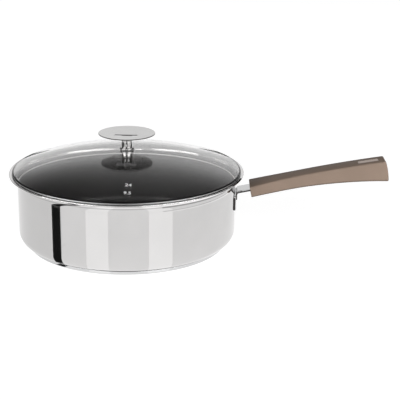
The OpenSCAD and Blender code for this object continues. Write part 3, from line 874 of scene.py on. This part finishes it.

# Painted on the ground edge: a highlight round its outside, shade above it, and near-black shade inside.
painted_edge_low, painted_edge_high = edge_z - 1 * mm, edge_z + 1.6 * mm
painted_edge_stops = ((0, 0.3), (0.06, 1), (0.39, 1), (0.5, 0.08), (0.65, 0.02))
ground_edge, tree, shader, at = material("ground_glass_edge", Metallic=0.85)
grain = placed(tree, turned_grain, Vector=at, Density=2500, Streaks=14)
tone = blend(tree, grain, (0.9, 0.9, 0.9), (1, 1, 1))
z = wire(tree, "SeparateXYZ", {"Vector": at}).outputs["Z"]
painted_edge_light = ramp(tree, carry(tree, z, painted_edge_low, painted_edge_high), *painted_edge_stops)
tone = blend(tree, 1.0, tone, painted_edge_light, "MULTIPLY")
from_inside = wire(tree, "NewGeometry").outputs["Backfacing"]
tone = blend(tree, from_inside, tone, (0.004, 0.004, 0.004))
link(tree, shader, Base_Color=tone, Roughness=carry(tree, grain, 0, 1, 0.28, 0.36))

dress(lid_pane, clear_glass, ground_edge)
mid = face_values(lid_pane, "center")
on_edge = np.hypot(mid[:, 0], mid[:, 1]) > upper_r * face_out - ground_in
lid_pane.data.polygons.foreach_set("material_index", on_edge.astype(np.int32))
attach(lid_pane, "lid")
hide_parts("lid_glass")


# Size marks. The pan's inside width in centimetres and in inches, as plain figures of white enamel
# that is fired onto the glass near its front.
print_white, tree, shader, at = material("fired_print", Roughness=0.5, Specular_IOR_Level=0.2)
worn = placed(tree, specks, Vector=at, Density=5000, Share=0.2)
link(tree, shader, Base_Color=blend(tree, worn, (0.95, 0.95, 0.95), (0.8, 0.8, 0.8)))
print_t, print_bold, print_lift = 0.01 * mm, 0.12 * mm, 0.03 * mm


def size_mark(name, words, x, y, tall):
    """A line of plain figures, centred at x, y and laid on the dome, which is
    z = dome_z + sqrt(R^2 - x^2 - y^2)."""
    line = bpy.data.curves.new(name, "FONT")
    line.body, line.size, line.align_x, line.align_y = words, tall, "CENTER", "CENTER"
    line.extrude, line.offset = print_t, print_bold
    flat = new_object(name + "_line", line)
    bpy.context.view_layer.update()
    mesh = bpy.data.meshes.new_from_object(flat.evaluated_get(bpy.context.evaluated_depsgraph_get()))
    bpy.data.objects.remove(flat)
    points = np.zeros(len(mesh.vertices) * 3)
    mesh.vertices.foreach_get("co", points)
    points = points.reshape(-1, 3) + (x, y, 0)
    face = dome_z + np.sqrt((upper_r + print_lift) ** 2 - points[:, 0] ** 2 - points[:, 1] ** 2)
    points[:, 2] += face
    mesh.vertices.foreach_set("co", points.ravel())
    mark = new_object(name, mesh)
    dress(mark, print_white)
    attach(mark, "lid")


size_mark("size_mark_metric", "24", 8.6 * mm, -95.5 * mm, 7.4 * mm)
size_mark("size_mark_inches", "9.5", 8.6 * mm, -109.8 * mm, 6.6 * mm)


# Knob plate. A flat disc of 1 mm brushed steel with a hanging slot stamped through it, spot-welded to
# the top of its stem.
knob_r, knob_t, plate_edge_r = 31.4 * mm, 1 * mm, 0.35 * mm
knob_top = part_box("knob_plate")[1].z
slot_l, slot_w, slot_off = 24.6 * mm, 5 * mm, 12.2 * mm
slot_edge_r = 0.15 * mm


def knob_disc_surface():
    """A ring of sections between the slot's outline and the disc's: at each angle t about the slot's
    middle both outlines are met by the same ray, and the section runs up the slot's wall, over the
    top, round the rim and back below, by shares of the way from one outline to the other."""
    t = np.linspace(0, 2 * np.pi, 240, endpoint=False)
    ray = np.column_stack((np.cos(t), np.sin(t)))
    fall, half_t = np.linspace(0, np.pi / 2, 4), knob_t / 2

    def slot_at(grow):
        box = np.array([slot_l / 2, slot_w / 2]) + grow
        reach = 1 / np.maximum(np.abs(ray) / box, 1e-9).max(1)
        return ray * reach[:, None] - (0, slot_off)

    def rim_at(shrink):
        along = ray[:, 1] * slot_off
        reach = along + np.sqrt(along ** 2 + (knob_r - shrink) ** 2 - slot_off ** 2)
        return ray * reach[:, None] - (0, slot_off)

    slot_rows = [(slot_at(slot_edge_r * (1 - np.cos(a))), half_t - slot_edge_r * (1 - np.sin(a)))
                 for a in fall]
    near, far = slot_at(slot_edge_r), rim_at(plate_edge_r)
    flat_rows = [(near + share * (far - near), half_t) for share in (0.02, 0.25, 0.5, 0.75, 0.98)]
    rim_rows = [(rim_at(plate_edge_r * (1 - np.sin(a))), half_t - plate_edge_r * (1 - np.cos(a)))
                for a in fall]
    rows = slot_rows + flat_rows + rim_rows
    rings = np.array([ring for side in (1, -1) for ring, z in rows[::side]])
    heights = [knob_top - half_t + side * z for side in (1, -1) for ring, z in rows[::side]]
    z = np.array(heights)[:, None] + 0 * rings[..., 0]
    return np.concatenate((rings, z[..., None]), -1)


knob_disc = skin("knob_disc", knob_disc_surface(), looped=True)
satin_steel, tree, shader, at = material("satin_steel", Metallic=1.0)
grain = placed(tree, turned_grain, Vector=at, Density=3000, Streaks=3)
marks = placed(tree, handling_marks, Vector=at, Size=30)
tone = blend(tree, grain, (0.64, 0.635, 0.63), (0.73, 0.725, 0.72))
link(tree, shader, Base_Color=tone, Roughness=carry(tree, marks, 0, 1, 0.2, 0.28),
     Normal=relief(tree, grain, 0.2, grain_depth))
dress(knob_disc, satin_steel, painted_shade_edge_steel)
# The disc's upright faces are cut edges too, and take the same near-black painted shade.
upright_lean = 0.6
upright = np.abs(face_values(knob_disc, "normal")[:, 2]) < upright_lean
knob_disc.data.polygons.foreach_set("material_index", upright.astype(np.int32))
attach(knob_disc, "lid")
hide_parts("knob_plate")


# Knob stem. A turned and polished steel post, with a thread in its foot for the screw that comes up
# through the glass.
stem_low, stem_high = (corner.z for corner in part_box("knob_stem"))
stem_r, stem_edge_r, thread_r, thread_l = 5.8 * mm, 0.3 * mm, 2.5 * mm, 9 * mm
knob_turns, pole_r = 96, 0.5 * mm
stem_profile = np.vstack((
    [[pole_r, stem_low + thread_l], [thread_r, stem_low + thread_l], [thread_r, stem_low]],
    arc((stem_r - stem_edge_r, stem_low + stem_edge_r), stem_edge_r, -90, 0, 5),
    np.column_stack((np.full(8, stem_r), np.linspace(stem_low + 1 * mm, stem_high - 1 * mm, 8))),
    arc((stem_r - stem_edge_r, stem_high - stem_edge_r), stem_edge_r, 0, 90, 5),
    [[pole_r, stem_high]],
))
mirror_steel = steel("mirror_steel", (0.47, 0.464, 0.46), 0.04, 0.07, 2200, 0.05)
stem = revolve("knob_stem_polished", stem_profile, columns=knob_turns)
dress(stem, mirror_steel)
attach(stem, "lid")
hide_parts("knob_stem")


# Foot ring. A polished steel ring round the foot of the stem's screw. It spreads the knob's load on
# the silicone washer that lies on the glass.
ring_low, ring_high = (corner.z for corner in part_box("knob_foot_ring"))
ring_r, bore_r, round_r = 7.9 * mm, 2.75 * mm, 0.4 * mm
ring_profile = np.vstack((
    [[bore_r, ring_high], [bore_r, ring_low]],
    arc((ring_r - round_r, ring_low + round_r), round_r, -90, 0, 8),
    arc((ring_r - round_r, ring_high - round_r), round_r, 0, 90, 8),
))
foot_ring = revolve("knob_ring_polished", ring_profile, looped=True, columns=knob_turns)
dress(foot_ring, mirror_steel)
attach(foot_ring, "lid")
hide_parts("knob_foot_ring")


# Knob fixing. Two moulded silicone washers keep the steel off the glass, and a steel washer and a
# hexagon-socket screw from below hold the stack. All four keep their CAD shape.
rubber, tree, shader, at = material("grey_silicone", Specular_IOR_Level=0.35)
grain = placed(tree, moulded_skin, Vector=at, Density=3000)
tone = blend(tree, grain, (0.1, 0.1, 0.1), (0.14, 0.14, 0.14))
link(tree, shader, Base_Color=tone, Roughness=carry(tree, grain, 0, 1, 0.55, 0.7))
for node, made in (("knob_seal_upper", rubber), ("knob_seal_lower", rubber),
                   ("knob_inner_washer", zinc_steel), ("knob_screw", zinc_steel)):
    dress(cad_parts[node], made)
